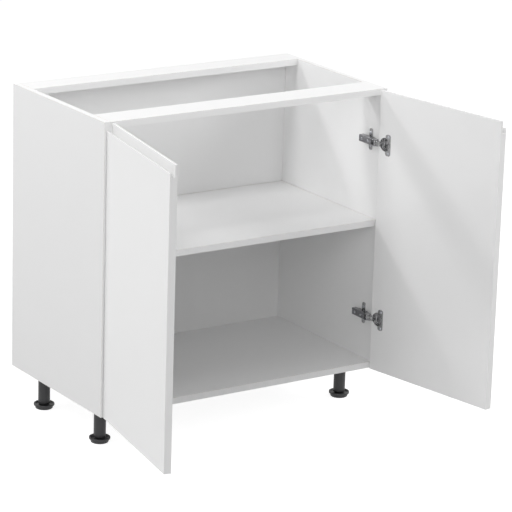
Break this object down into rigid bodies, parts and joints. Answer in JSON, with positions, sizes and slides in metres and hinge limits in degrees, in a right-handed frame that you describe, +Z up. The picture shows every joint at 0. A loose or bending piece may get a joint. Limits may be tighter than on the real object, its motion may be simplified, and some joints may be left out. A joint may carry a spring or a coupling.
{
  "type": "sink base cabinet",
  "caption": "White kitchen base cabinet for a sink: open top between rails, shelf, handleless doors on concealed hinges, adjustable legs.",
  "frame": {"origin": "on the floor, in the middle of the space taken up with the doors open", "axes": "+Z up, -Y the cabinet's front, +X its right-hand side seen from the front"},
  "size_m": [0.9268, 0.8368, 0.816],
  "materials": {
    "white_board": "melamine-faced board, fine pearl texture",
    "white_hardboard": "lacquered thin fibreboard",
    "white_door": "satin lacquered fibreboard",
    "hinge_steel": "nickel-plated pressed steel",
    "zinc_screws": "bright zinc",
    "zinc_cast": "raw zinc casting",
    "beech": "turned beech, raw",
    "black_plastic": "moulded black plastic, fine grain"
  },
  "bodies": {
    "carcass": {"left_side_panel": "white_board", "right_side_panel": "white_board", "bottom_panel": "white_board", "front_rail": "white_board", "back_rail": "white_board", "back_panel": "white_hardboard", "shelf": "white_board", "shelf_pins": "hinge_steel", "cam_housings": "zinc_cast", "cam_bolts": "zinc_screws", "wood_dowels": "beech", "leg_socket_screws": "zinc_screws", "hinge_arm_pins": "hinge_steel", "hinge_adjusting_screws": "zinc_screws", "hinge_plate_screws": "zinc_screws", "left_upper_hinge_plate": "hinge_steel", "left_upper_hinge_arm": "hinge_steel", "left_lower_hinge_plate": "hinge_steel", "left_lower_hinge_arm": "hinge_steel", "right_upper_hinge_plate": "hinge_steel", "right_upper_hinge_arm": "hinge_steel", "right_lower_hinge_plate": "hinge_steel", "right_lower_hinge_arm": "hinge_steel", "left_front_leg_socket": "black_plastic", "left_front_leg_tube": "black_plastic", "right_front_leg_socket": "black_plastic", "right_front_leg_tube": "black_plastic", "left_back_leg_socket": "black_plastic", "left_back_leg_tube": "black_plastic", "right_back_leg_socket": "black_plastic", "right_back_leg_tube": "black_plastic"},
    "left_door": {"left_door": "white_door", "left_cup_pins": "hinge_steel", "left_cup_screws": "zinc_screws", "left_upper_hinge_cup": "hinge_steel", "left_lower_hinge_cup": "hinge_steel"},
    "left_outer_links": {"left_upper_outer_link": "hinge_steel", "left_lower_outer_link": "hinge_steel"},
    "left_inner_links": {"left_upper_inner_link": "hinge_steel", "left_lower_inner_link": "hinge_steel"},
    "right_door": {"right_door": "white_door", "right_cup_pins": "hinge_steel", "right_cup_screws": "zinc_screws", "right_upper_hinge_cup": "hinge_steel", "right_lower_hinge_cup": "hinge_steel"},
    "right_outer_links": {"right_upper_outer_link": "hinge_steel", "right_lower_outer_link": "hinge_steel"},
    "right_inner_links": {"right_upper_inner_link": "hinge_steel", "right_lower_inner_link": "hinge_steel"},
    "left_front_foot": {"left_front_leg_foot": "black_plastic"},
    "right_front_foot": {"right_front_leg_foot": "black_plastic"},
    "left_back_foot": {"left_back_leg_foot": "black_plastic"},
    "right_back_foot": {"right_back_leg_foot": "black_plastic"}
  },
  "joints": [
    {"name": "left_outer_link_turn", "type": "hinge", "parent": "carcass", "child": "left_outer_links", "pos_m": [-0.3743, -0.02462, 0.408], "axis": [0, 0, 1], "range_deg": [-45.57, 0.1]},
    {"name": "left_door_swing", "type": "hinge", "parent": "left_outer_links", "child": "left_door", "pos_m": [-0.38133, -0.03749, 0.408], "axis": [0, 0, 1], "range_deg": [0, 145.47]},
    {"name": "left_inner_link_turn", "type": "hinge", "parent": "carcass", "child": "left_inner_links", "pos_m": [-0.3698, -0.01983, 0.408], "axis": [0, 0, 1], "range_deg": [-4.42, 0.1]},
    {"name": "right_outer_link_turn", "type": "hinge", "parent": "carcass", "child": "right_outer_links", "pos_m": [0.3743, -0.02462, 0.408], "axis": [0, 0, -1], "range_deg": [-45.57, 0.1]},
    {"name": "right_door_swing", "type": "hinge", "parent": "right_outer_links", "child": "right_door", "pos_m": [0.38133, -0.03749, 0.408], "axis": [0, 0, -1], "range_deg": [0, 145.47]},
    {"name": "right_inner_link_turn", "type": "hinge", "parent": "carcass", "child": "right_inner_links", "pos_m": [0.3698, -0.01983, 0.408], "axis": [0, 0, -1], "range_deg": [-4.42, 0.1]},
    {"name": "left_front_foot_adjust", "type": "slide", "parent": "carcass", "child": "left_front_foot", "axis": [0, 0, -1], "range_m": [0, 0.02]},
    {"name": "right_front_foot_adjust", "type": "slide", "parent": "carcass", "child": "right_front_foot", "axis": [0, 0, -1], "range_m": [0, 0.02]},
    {"name": "left_back_foot_adjust", "type": "slide", "parent": "carcass", "child": "left_back_foot", "axis": [0, 0, -1], "range_m": [0, 0.02]},
    {"name": "right_back_foot_adjust", "type": "slide", "parent": "carcass", "child": "right_back_foot", "axis": [0, 0, -1], "range_m": [0, 0.02]}
  ],
  "couplings": [
    {"joint": "left_outer_link_turn", "follows": "left_door_swing", "ratio": -0.31257},
    {"joint": "left_inner_link_turn", "follows": "left_door_swing", "ratio": -0.029723},
    {"joint": "right_outer_link_turn", "follows": "right_door_swing", "ratio": -0.31257},
    {"joint": "right_inner_link_turn", "follows": "right_door_swing", "ratio": -0.029723}
  ]
}
